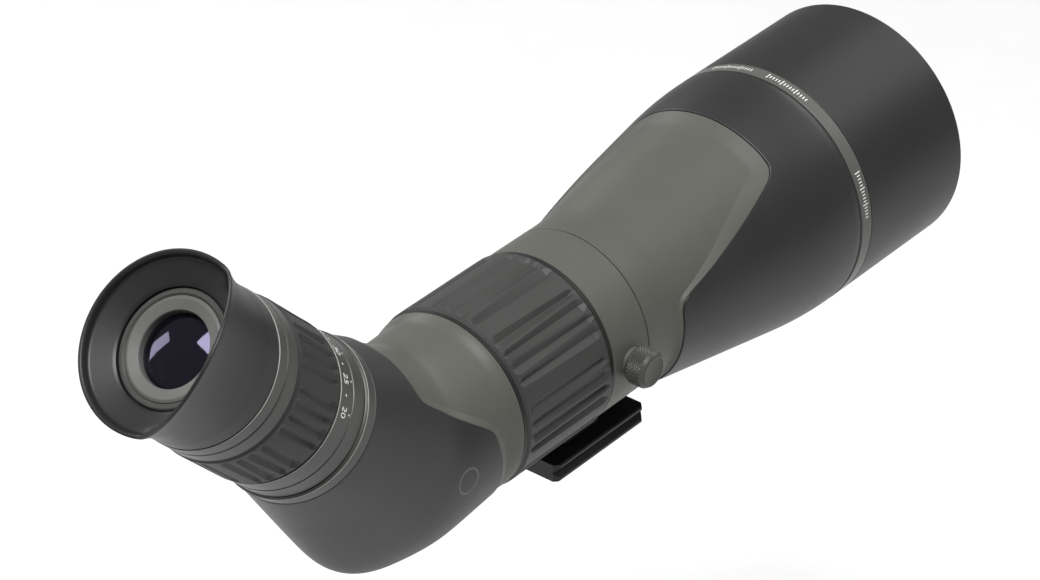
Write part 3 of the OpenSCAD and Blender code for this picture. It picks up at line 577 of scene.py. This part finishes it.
def rear_line():
    """Station along the elbow where the rear armour begins, for each column."""
    angles = np.linspace(0, 2 * math.pi, COLUMNS, endpoint=False)
    stations = np.linspace(0, elbow.length, 400)[:, None]
    points = elbow.surface(stations, angles[None, :], np.zeros((1, 1)))
    ahead = points[..., 1] / MM - cross.y / MM
    height = (points[..., 2] - axis_z) / MM
    edge = np.array(REAR_EDGE)[::-1]
    behind = ahead < np.interp(height, edge[:, 1], edge[:, 0])
    first = np.where(behind.any(axis=0), behind.argmax(axis=0), len(stations) - 1)
    line = stations[first, 0]
    return smoothed(np.minimum(line, elbow.length - 1.6), 2.2, wrap=True)




def elbow_bevel(station):
    """The same width all along the elbow."""
    return np.full(station.shape, 3.0)


two_tone(elbow.surface, rear_line(), 0.0, np.full(COLUMNS, elbow.length), 1.3, 9, elbow_bevel,
         ("elbow_casting", body_paint, "body_paint", ("prism_housing",)),
         ("elbow_armour_skin", armour_rubber, "armour_rubber", ("rear_armour",)))

# ---------------------------------------------------------------- rings and tubes
band_back, band_front, _ = tube.span("marking_band")
hood_back, hood_front, hood_r = tube.span("hood")
sleeve_front = casing_front
sleeve_r = tube.span("hood_guide_ring")[2] - 2.9
SLEEVE_WALL = 2.3
lathe("objective_sleeve", tube, [(band_back - 6, sleeve_r - SLEEVE_WALL, 0), (band_back - 6, sleeve_r, 0),
      (sleeve_front, sleeve_r, 0.2), (sleeve_front, sleeve_r - SLEEVE_WALL, 0.2)],
      "scope", anodised, ("barrel_shell",))
lathe("front_band", tube, [(band_back, sleeve_r, 0), (band_back, hood_r, 0.35), (band_front, hood_r, 0.35),
      (band_front, sleeve_r, 0)], "scope", band_paint, ("marking_band",))


def light_trap(first, last, radius, pitch, depth):
    """Saw-tooth grooves that stop light glancing along a wall, listed from last to first."""
    count = int((last - first) / pitch)
    teeth = []
    for k in range(count):
        at = last - k * (last - first) / count
        teeth += [(at, radius, 0.08), (at - pitch * 0.3, radius + depth, 0.08)]
    return teeth


HOOD_WALL = 2.3
HOOD_RUN = 0.05
hood_outside = [(hood_back, sleeve_r + HOOD_RUN, 0), (hood_back, hood_r, 0.3),
                (hood_front - 0.9, hood_r, 0.5), (hood_front, hood_r - 0.75, 0.6),
                (hood_front, hood_r - 1.6, 0.4), (hood_front - 1.2, hood_r - HOOD_WALL, 0.3)]
hood_inside = [*light_trap(hood_back + 12, hood_front - 6, hood_r - HOOD_WALL, 1.6, 0.35),
               (hood_back + 6.5, hood_r - HOOD_WALL, 0), (hood_back + 5.5, sleeve_r + HOOD_RUN, 0)]
lathe("sliding_hood", tube, hood_outside + hood_inside, "hood", hood_paint, ("hood",),
      steps=256)

cell_front = tube.span("objective_cell")[1]
window_r = tube.span("objective_retainer")[2] - 1.2
lathe("objective_ring", tube, [(cell_front - 8.6, window_r, 0), (cell_front - 8.6, window_r + 1.15, 0),
      (cell_front - 5.2, window_r + 1.15, 0.2), (cell_front - 5.2, window_r + 0.5, 0.3),
      (cell_front - 8.2, window_r, 0.3)], "scope", retainer_black, ("objective_retainer",))


def lens_piece(name, node, axis, back_sag, front_sag, material):
    """A polished lens with curved faces and a small ground chamfer, in place of the frame's lens."""
    back, front, radius = axis.span(node)
    edge_back = back + back_sag
    edge_front = front - front_sag
    rings = 22
    face = [(1 - (k / rings) ** 2, radius * k / rings) for k in range(rings + 1)]
    profile = [(edge_front + front_sag * bulge, r, 0) for bulge, r in face[:-1]]
    profile += [(edge_front, radius - 0.25, 0), (edge_front - 0.25, radius, 0), (edge_back + 0.25, radius, 0)]
    profile += [(edge_back - back_sag * bulge, r, 0) for bulge, r in reversed(face)]
    lathe(name, axis, profile, "scope", material, (node,), steps=160)


lens_piece("objective_front_lens", "objective_crown", tube, 2.1, 2.6, objective_glass)

neck_r = float(outline_r[0])

# ---- eyepiece rings
base_back, base_front, base_r = eyepiece.span("eyepiece_base_ring")
tube_r = eyepiece.span("eyepiece_tube")[2]
lathe("neck_ring", eyepiece, [(base_back, tube_r, 0), (base_back, base_r, 0.25),
      (base_front - 0.7, base_r, 0.3), (base_front, base_r - 0.8, 0.3), (base_front, tube_r, 0)],
      "scope", ring_paint, ("eyepiece_base_ring",))
zoom_back, zoom_front, _ = eyepiece.span("zoom_ring")
grip_back, grip_front, grip_r = eyepiece.span("zoom_grip")
zoom_r = grip_r - 0.5
zoom_seat = grip_r - 2.0
scale_line = zoom_back + 7.4
zoom_profile = [
    (zoom_back, tube_r + 0.05, 0), (zoom_back, zoom_r - 0.1, 0.25), (zoom_back + 0.45, zoom_r + 0.22, 0.25),
    (zoom_back + 1.1, zoom_r + 0.1, 0.2), (scale_line - 0.25, zoom_r + 0.1, 0.1),
    (scale_line - 0.1, zoom_r - 0.25, 0.05), (scale_line + 0.1, zoom_r - 0.25, 0.05),
    (scale_line + 0.3, zoom_r - 0.02, 0.1), (grip_back - 0.6, zoom_r, 0.1),
    (grip_back - 0.35, zoom_r + 0.25, 0.15), (grip_back - 0.05, zoom_r + 0.25, 0.1),
    (grip_back - 0.05, zoom_seat, 0), (grip_front + 0.05, zoom_seat, 0), (grip_front + 0.05, zoom_r, 0.2),
    (zoom_front - 0.5, zoom_r - 0.1, 0.1), (zoom_front, zoom_r - 0.5, 0.2), (zoom_front, tube_r + 0.05, 0)]
lathe("zoom_barrel", eyepiece, zoom_profile, "zoom_ring", ring_paint, ("zoom_ring",))
stop_back, stop_front, stop_r = eyepiece.span("stop_ring")
lathe("fixed_ring", eyepiece, [(stop_back, tube_r, 0), (stop_back, stop_r, 0.25),
      (stop_front - 0.4, stop_r + 0.05, 0.2), (stop_front, stop_r - 0.2, 0.15), (stop_front, tube_r, 0)],
      "scope", ring_paint, ("stop_ring",))


def edge_ring(name, station, radius, body):
    """Thin raised bevel on the edge of a ring, coloured light grey as a painted highlight."""
    lathe(name, eyepiece, [(station - 0.16, radius - 0.3, 0), (station - 0.16, radius, 0.12),
          (station + 0.16, radius - 0.04, 0.12), (station + 0.16, radius - 0.3, 0)],
          body, bright_edge, steps=256)


# painted highlights along the edges of the neck ring, the zoom scale and the fixed ring
edge_ring("neck_painted_highlight", base_front - 0.85, base_r + 0.06, "scope")
edge_ring("scale_painted_highlight", grip_back - 0.2, zoom_r + 0.32, "zoom_ring")
edge_ring("cup_painted_highlight", stop_front - 0.2, stop_r + 0.03, "scope")

# ---- eyecup and eye lens
cup_back, _, lip_r = eyepiece.span("eyecup_rubber")
cup_points = [eyepiece_station(v.co) for v in NODES["eyecup_rubber"].data.vertices if v.co.x < 0]
cup_front = max(cup_points)
cup_mount = next(m for m in frame["record"]["mounts"] if m["name"] == "eyecup_outside")
cup_r = cup_mount["dims"]["r_mm"]
head_back, head_front, _ = eyepiece.span("eyepiece_head")
HEAD_R = 20.5
WINDOW_R = 13.1
SHOULDER_R = 17.4
floor_s = head_front - 0.1
sleeve_in = eyepiece.span("eyecup_sleeve")[2]
SHIELD_RISE = 18
SHIELD_START = 9.6
RIM_EASE = 2.2
FLARE_FROM = 6.5
LIP_DEPTH = 2.8
CUP_RUN = 0.45


def rim_rise(angle):
    """How far the rim stands above its level side: it slopes up to the side shield."""
    across = lip_r * np.sin(angle) - SHIELD_START
    slope = SHIELD_RISE / (lip_r - SHIELD_START)
    return slope * (across + np.sqrt(across * across + RIM_EASE ** 2)) / 2


def eyecup():
    """Flared cup whose lip is drawn up on one side into the shield."""
    level = cup_front - rim_rise(math.pi)
    flare_back = cup_back + FLARE_FROM
    base = [(cup_back, sleeve_in, 0), (cup_back, cup_r - 0.15, 0.3), (cup_back + 0.45, cup_r, 0.3),
            (cup_back + 3, cup_r, 0), (flare_back, cup_r + 0.05, 2)]
    flare = [(flare_back + (level - 0.9 - flare_back) * u, cup_r + (lip_r - cup_r) * u ** 2.3, 0)
             for u in np.linspace(0.08, 1, 14)]
    lip = [(level - 0.25, lip_r, 0.25), (level, lip_r - 0.4, 0.3), (level, lip_r - 1.1, 0.4),
           (level - 0.8, lip_r - 1.75, 0.5), (level - LIP_DEPTH, lip_r - 2.3, 0.9)]
    floor_line = [(floor_s + 2.2, HEAD_R + 5.2, 3.0), (floor_s + 0.9, HEAD_R + 1.3, 0.5),
                  (floor_s + 0.3, HEAD_R + CUP_RUN, 0.15), (floor_s - 1.3, HEAD_R + CUP_RUN, 0.1),
                  (floor_s - 1.3, sleeve_in, 0)]
    outline = fillet(base + flare + lip + floor_line, 5)
    steps = 320
    angles = np.linspace(0, 2 * math.pi, steps, endpoint=False)[None, :]
    stations = np.array([p[0] for p in outline])[:, None]
    radii = np.array([p[1] for p in outline])[:, None]
    count = len(outline)
    away_from_tip = np.abs(stations[:, 0] - level) + (radii[:, 0] < lip_r - 1.2) * FAR
    outward = np.arange(count) <= np.argmin(away_from_tip)
    stretch_from = np.where(outward, flare_back, floor_s + 2.4)[:, None]
    share = np.clip((stations - stretch_from) / (level - LIP_DEPTH - stretch_from), 0, 1)
    stations = stations + rim_rise(angles) * share
    points = eyepiece.points(stations, np.broadcast_to(radii, stations.shape), angles).reshape(-1, 3)
    faces = grid_faces(count, steps, closed_rows=True)
    weigh_normals(add_mesh("eyecup_moulding", points, faces, "eyecup", eyecup_rubber,
                           ("eyecup_rubber",)))


eyecup()
bore_r = eyepiece.span("eye_lens")[2] + 0.25
nose_root = tube_r - 1.9
lathe("eyepiece_nose", eyepiece, [(head_back, bore_r, 0), (head_back, nose_root, 0.2),
      (stop_front, nose_root, 0), (stop_front, HEAD_R, 0), (head_front - 0.5, HEAD_R, 0.1),
      (head_front, HEAD_R - 0.5, 0.25),
      (head_front, SHOULDER_R + 1.25, 0.15), (head_front - 0.4, SHOULDER_R + 1.05, 0.1),
      (head_front - 0.4, bore_r + 0.15, 0.05), (head_front - 0.7, bore_r, 0)],
      "scope", nose_satin, ("eyepiece_head",))
ring_back, ring_front, _ = eyepiece.span("eye_lens_retainer")
lathe("eye_lens_ring", eyepiece, [(ring_back, WINDOW_R, 0), (ring_back, bore_r - 0.03, 0),
      (ring_front - 0.5, bore_r - 0.03, 0.2), (ring_front, SHOULDER_R - 0.4, 0.3),
      (ring_front - 0.9, WINDOW_R + 0.25, 0.2), (ring_front - 1.5, WINDOW_R, 0.2)],
      "scope", retainer_black, ("eye_lens_retainer",))
lens_piece("eye_front_lens", "eye_lens", eyepiece, 0.6, 3.0, eye_glass)
lens_piece("eye_second_lens", "eye_doublet", eyepiece, 1.5, 1.5, deep_glass)

# ---------------------------------------------------------------- ribbed rubber grips
GROUPS = 8
GROOVES = 4
RIB_SHARP = math.radians(13)
RIM_SLOPE = 0.9
RUN_OUT = 2.6


def ribbed(name, axis, first, last, rim_r, crest, depth, wide, narrow, spacing, node, body, inner_r,
           material=grip_rubber, rim=1.3):
    """Rubber grip with groups of four V grooves between wide flats.

    The grooves have flat sides and taper towards opposite ends in turn, and the mesh's columns follow
    their edges. wide and narrow are a groove's half width at its two ends.
    """
    length = last - first
    cut = rim + RIM_SLOPE
    flat = cut + RUN_OUT + 1.5
    ends = [0, 0.12, 0.3, rim, rim + 0.4, cut, cut + RUN_OUT * 0.5, cut + RUN_OUT, flat]
    along = ends + list(np.linspace(flat, length - flat, 12))[1:-1]
    along = np.array(along + [length - e for e in reversed(ends)])[:, None]
    from_end = np.minimum(along, length - along)
    rim_round = 0.25 * np.clip(1 - from_end / 0.3, 0, 1) ** 2
    rise = crest * np.clip((from_end - rim) / RIM_SLOPE, 0, 1) - rim_round
    run_out = np.clip((from_end - cut) / RUN_OUT, 0, 1)
    share = np.clip((along - cut) / (length - 2 * cut), 0, 1)
    radius = rim_r + crest
    angles, heights = [], []
    for g in range(GROUPS):
        centre = g * 360 / GROUPS
        for k in range(GROOVES):
            groove = math.radians(centre + (k - (GROOVES - 1) / 2) * spacing)
            half = wide + (narrow - wide) * (share if k % 2 == 0 else 1 - share)
            half = half * (0.55 + 0.45 * run_out)
            for side, drop in ((-1, 0), (-0.07, 1), (0.07, 1), (1, 0)):
                angles.append(groove + side * half / radius)
                heights.append(rise - drop * depth * run_out)
        gap = 360 / GROUPS - (GROOVES - 1) * spacing
        last_groove = centre + (GROOVES - 1) / 2 * spacing
        for part in np.linspace(0.24, 0.76, 6):
            angles.append(np.full(along.shape, math.radians(last_groove + gap * part)))
            heights.append(rise)
    angles = np.hstack(angles)
    heights = np.hstack(heights)
    columns = angles.shape[1]
    outer = axis.points(first + along, rim_r + heights, angles)
    inner = axis.points(first + along[[-1, 0]], np.full((2, columns), inner_r), angles[[-1, 0]])
    points = np.vstack([outer, inner]).reshape(-1, 3)
    faces = grid_faces(len(along) + 2, columns, closed_rows=True)
    weigh_normals(add_mesh(name, points, faces, body, material, (node,), sharp=RIB_SHARP))


focus_back, focus_front, _ = tube.span("focus_grip")
ribbed("focus_ring_rubber", tube, focus_back - 1.2, focus_front + 1.2, rim_r=neck_r - 0.35, crest=1.0,
       depth=1.3, wide=2.9, narrow=1.7, spacing=9.0, node="focus_grip", body="focus_ring",
       inner_r=neck_r - 1.3, material=focus_rubber)
ribbed("zoom_ring_rubber", eyepiece, grip_back, grip_front, rim_r=zoom_r - 0.15, crest=0.6, depth=1.05,
       wide=2.3, narrow=1.3, spacing=9.5, node="zoom_grip", body="zoom_ring", inner_r=zoom_seat, rim=0.7)

# ---------------------------------------------------------------- locking knob
knob_low, knob_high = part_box("lock_knob")
knob_r = (knob_high.z - knob_low.z) / 2 / MM
knob_len = (knob_high.x - knob_low.x) / MM
knob_middle = (knob_low + knob_high) / 2
knob_axis = Axis((knob_low.x, knob_middle.y, knob_middle.z), (1, 0, 0), (0, 0, 1))
knob_axis.side = Vector((0, 1, 0))


def knurled_rim(first, last, radius, depth, columns, rows):
    """Band of raised diamonds: every second point of a grid stands proud."""
    stations = np.linspace(first, last, rows)[:, None]
    angles = np.linspace(0, 2 * math.pi, columns, endpoint=False)[None, :]
    high = (np.arange(rows)[:, None] + np.arange(columns)[None, :]) % 2 == 0
    inner_rows = np.ones((rows, 1), bool)
    inner_rows[[0, -1]] = False
    radii = np.where(high & inner_rows, radius, radius - depth)
    verts = knob_axis.points(stations, radii, angles).reshape(-1, 3)
    faces = []
    for i in range(rows - 1):
        for j in range(columns):
            k = (j + 1) % columns
            a, b, c, d = i * columns + j, i * columns + k, (i + 1) * columns + k, (i + 1) * columns + j
            if (i + j) % 2 == 0:
                faces += [(a, b, d), (b, c, d)]
            else:
                faces += [(a, b, c), (a, c, d)]
    return verts, faces


KNURL_DEPTH = 0.42
KNURL_COLUMNS = 64
rim_verts, rim_faces = knurled_rim(1.1, knob_len - 1.5, knob_r, KNURL_DEPTH, KNURL_COLUMNS, 11)
inner_r = knob_r - KNURL_DEPTH
caps = [(knob_len - 1.5, inner_r), (knob_len - 0.9, knob_r - 0.75), (knob_len - 0.35, knob_r - 1.15),
        (knob_len - 0.05, knob_r - 1.7), (knob_len, knob_r - 2.1), (knob_len - 0.25, knob_r - 2.6),
        (knob_len - 0.5, knob_r - 4), (knob_len - 0.6, 0)]
foot_caps = [(1.1, inner_r), (0.5, knob_r - 0.7), (0, knob_r - 1.3), (0, 0)]
knob_verts, knob_faces = list(rim_verts), list(rim_faces)
turn = np.linspace(0, 2 * math.pi, KNURL_COLUMNS, endpoint=False)[None, :]
for cap in (caps, foot_caps):
    stations = np.array([c[0] for c in cap])[:, None]
    radii = np.array([c[1] for c in cap])[:, None]
    offset = len(knob_verts)
    knob_verts += list(knob_axis.points(stations, radii, turn).reshape(-1, 3))
    knob_faces += [tuple(offset + v for v in f) for f in grid_faces(len(cap), KNURL_COLUMNS)]
add_mesh("knurled_knob", knob_verts, knob_faces, "lock_knob", knob_paint, ("lock_knob",),
         sharp=math.radians(24))

# ---------------------------------------------------------------- medallion
badge_low, badge_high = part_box("side_medallion")
badge_centre = (badge_low + badge_high) / 2
badge_r = (badge_high.y - badge_low.y) / 2 / MM
skin = mesh_tree(bpy.data.objects["elbow_armour_skin"])


def badge():
    """Blank round badge that follows the armour: a raised ring round a shallow dish."""
    profile = [(0, -0.1), (badge_r * 0.5, -0.1), (badge_r - 1.3, -0.1), (badge_r - 1.1, 0.02),
               (badge_r - 0.95, 0.1), (badge_r - 0.45, 0.1), (badge_r - 0.3, 0.02), (badge_r - 0.18, -0.15),
               (badge_r, -0.15), (badge_r, -1.2), (0, -1.2)]
    steps = 96
    verts = []
    for radius, lift in profile:
        for k in range(steps):
            a = 2 * math.pi * k / steps
            aside = radius * MM * Vector((0, math.cos(a), math.sin(a)))
            start = Vector((FAR * MM, badge_centre.y, badge_centre.z)) + aside
            met, normal, _, _ = skin.ray_cast(start, Vector((-1, 0, 0)))
            verts.append(met + normal * (lift * MM))
    faces = grid_faces(len(profile), steps)
    weigh_normals(add_mesh("side_badge", verts, faces, "scope", medallion_grey,
                           ("side_medallion",), sharp=math.radians(30)))


badge()

# ---------------------------------------------------------------- printed marks
INK_LIFT = 0.015
INK_THICK = 0.03


def ink_on(name, axis, radius, body, shapes):
    """Marks printed on a ring. Each shape is (angle in degrees, station, outline, faces) laid flat in mm."""
    verts, faces = [], []
    for angle, station, outline, shape_faces in shapes:
        offset = len(verts)
        for x, y, z in outline:
            lift = INK_LIFT + (INK_THICK if z > 0 else 0)
            verts.append(axis.point(station + y, radius + lift, math.radians(angle) + x / radius))
        faces += [tuple(offset + v for v in f) for f in shape_faces]
    add_mesh(name, verts, faces, body, white_ink, sharp=math.radians(30))


def slab(ring):
    """Thin solid on a ring of (x, y) points: z is 1 on its top face and 0 on its bottom face."""
    count = len(ring)
    outline = [(x, y, 1) for x, y in ring] + [(x, y, 0) for x, y in ring]
    faces = [tuple(range(count)), tuple(range(2 * count - 1, count - 1, -1))]
    faces += [(i, (i + 1) % count, (i + 1) % count + count, i + count) for i in range(count)]
    return outline, faces


def box_shape(width, height):
    """A bar of ink with its corners cut."""
    w = width / 2
    h = height / 2
    c = min(width, height) * 0.2
    return slab([(w - c, -h), (w, -h + c), (w, h - c), (w - c, h),
                 (-w + c, h), (-w, h - c), (-w, -h + c), (-w + c, -h)])


def dot_shape(radius, steps=20):
    turns = [2 * math.pi * k / steps for k in range(steps)]
    return slab([(radius * math.cos(a), radius * math.sin(a)) for a in turns])


def number_shape(text, height):
    """A number from the built-in font, as a thin solid whose top points towards the objective."""
    curve = bpy.data.curves.new("number_" + text, "FONT")
    curve.body = text
    curve.size = height * 1.4
    curve.align_x = "CENTER"
    curve.align_y = "CENTER"
    curve.extrude = 0.01
    holder = bpy.data.objects.new("number_" + text, curve)
    mesh = bpy.data.meshes.new_from_object(holder)
    outline = [(v.co.x, -v.co.y, v.co.z) for v in mesh.vertices]
    faces = [tuple(p.vertices) for p in mesh.polygons]
    bpy.data.objects.remove(holder)
    return outline, faces


ZOOM_MARKS = {20: 75, 25: 52, 30: 30, 35: 9, 40: -12, 50: -45, 60: -75}
scale_mid = (scale_line + grip_back) / 2
shapes = []
for power, angle in ZOOM_MARKS.items():
    shapes.append((angle, scale_mid + 0.6, *number_shape(str(power), 2.9)))
    shapes.append((angle, scale_mid - 3.0, *dot_shape(0.35)))
between = sorted(ZOOM_MARKS.values())
for a, b in zip(between, between[1:]):
    shapes.append(((a + b) / 2, scale_mid + 0.6, *dot_shape(0.4)))
ink_on("zoom_numbers", eyepiece, zoom_r, "zoom_ring", shapes)
index_station = (base_back + base_front) / 2 - 0.2
ink_on("zoom_index", eyepiece, base_r, "scope", [(0, index_station, *dot_shape(0.9, 28))])

shapes = []
band_mid = (band_back + band_front) / 2
for first_angle in (-28, 2, 62, 152, 212, 272):
    for k in range(15):
        tall = k % 5 == 0
        shapes.append((first_angle + 1.5 * k, band_mid, *box_shape(0.42, 3.0 if tall else 1.7)))
ink_on("band_ticks", tube, hood_r, "scope", shapes)

# ---------------------------------------------------------------- floor, lights, camera
VIEW = Vector((-0.5282, 0.6508, -0.5454)).normalized()
VIEW_RIGHT = Vector((0.7764, 0.6302, 0)).normalized()
AIM_BELOW = 8.46
AIM_LEFT = 0.81
CAMERA_DISTANCE = 1567.9
CAMERA_LENS = 153.94
target = (cad_low + cad_high) / 2
view_up = VIEW_RIGHT.cross(VIEW)
aim = target - view_up * (AIM_BELOW * MM) - VIEW_RIGHT * (AIM_LEFT * MM)
camera_data = bpy.data.cameras.new("camera")
camera_data.lens = CAMERA_LENS
camera_data.sensor_width = 36
camera_data.clip_end = 20
camera = bpy.data.objects.new("camera", camera_data)
camera.matrix_world = Matrix((VIEW_RIGHT, view_up, -VIEW)).transposed().to_4x4()
camera.location = aim - VIEW * (CAMERA_DISTANCE * MM)
bpy.context.scene.collection.objects.link(camera)
bpy.context.scene.camera = camera

FLOOR_DROP = 0.32
floor_mesh = bpy.data.meshes.new("floor")
floor_bm = bmesh.new()
bmesh.ops.create_grid(floor_bm, x_segments=8, y_segments=8, size=7)
floor_bm.to_mesh(floor_mesh)
floor_bm.free()
floor = bpy.data.objects.new("floor", floor_mesh)
floor.location = (target.x, target.y, cad_low.z - FLOOR_DROP)
bpy.context.scene.collection.objects.link(floor)
floor_material = coated("floor_paper", (0.70, 0.70, 0.70), 0.9, 60, 0.0002, 0.01)
floor_mesh.materials.append(floor_material)


def soft_light(name, direction, distance, size, watts):
    """Rectangular light that stands off in a direction and faces the object."""
    data = bpy.data.lights.new(name, "AREA")
    data.shape = "RECTANGLE"
    data.size, data.size_y = size
    data.energy = watts
    light = bpy.data.objects.new(name, data)
    towards = Vector(direction).normalized()
    light.location = target + towards * distance
    light.rotation_euler = towards.to_track_quat("Z", "Y").to_euler()
    bpy.context.scene.collection.objects.link(light)


soft_light("key", (0.26, -0.20, 0.95), 1.9, (0.8, 0.8), 54)
soft_light("left_strip", (-0.95, 0.1, 0.45), 2.0, (1.6, 0.5), 15)
soft_light("back", (0.1, 0.9, 0.5), 2.2, (1.6, 0.6), 12)
soft_light("rear_left_strip", (-0.79, -0.52, 0.32), 2.0, (0.25, 1.1), 5)
soft_light("lens_glint", (-0.20, -0.53, 0.82), 1.9, (0.6, 0.4), 9)
world = bpy.data.worlds.new("studio")
bpy.context.scene.world = world
world.use_nodes = True
background = world.node_tree.nodes["Background"]
background.inputs["Color"].default_value = (1, 1, 1, 1)
background.inputs["Strength"].default_value = 0.26
bpy.context.scene.view_settings.view_transform = "Standard"
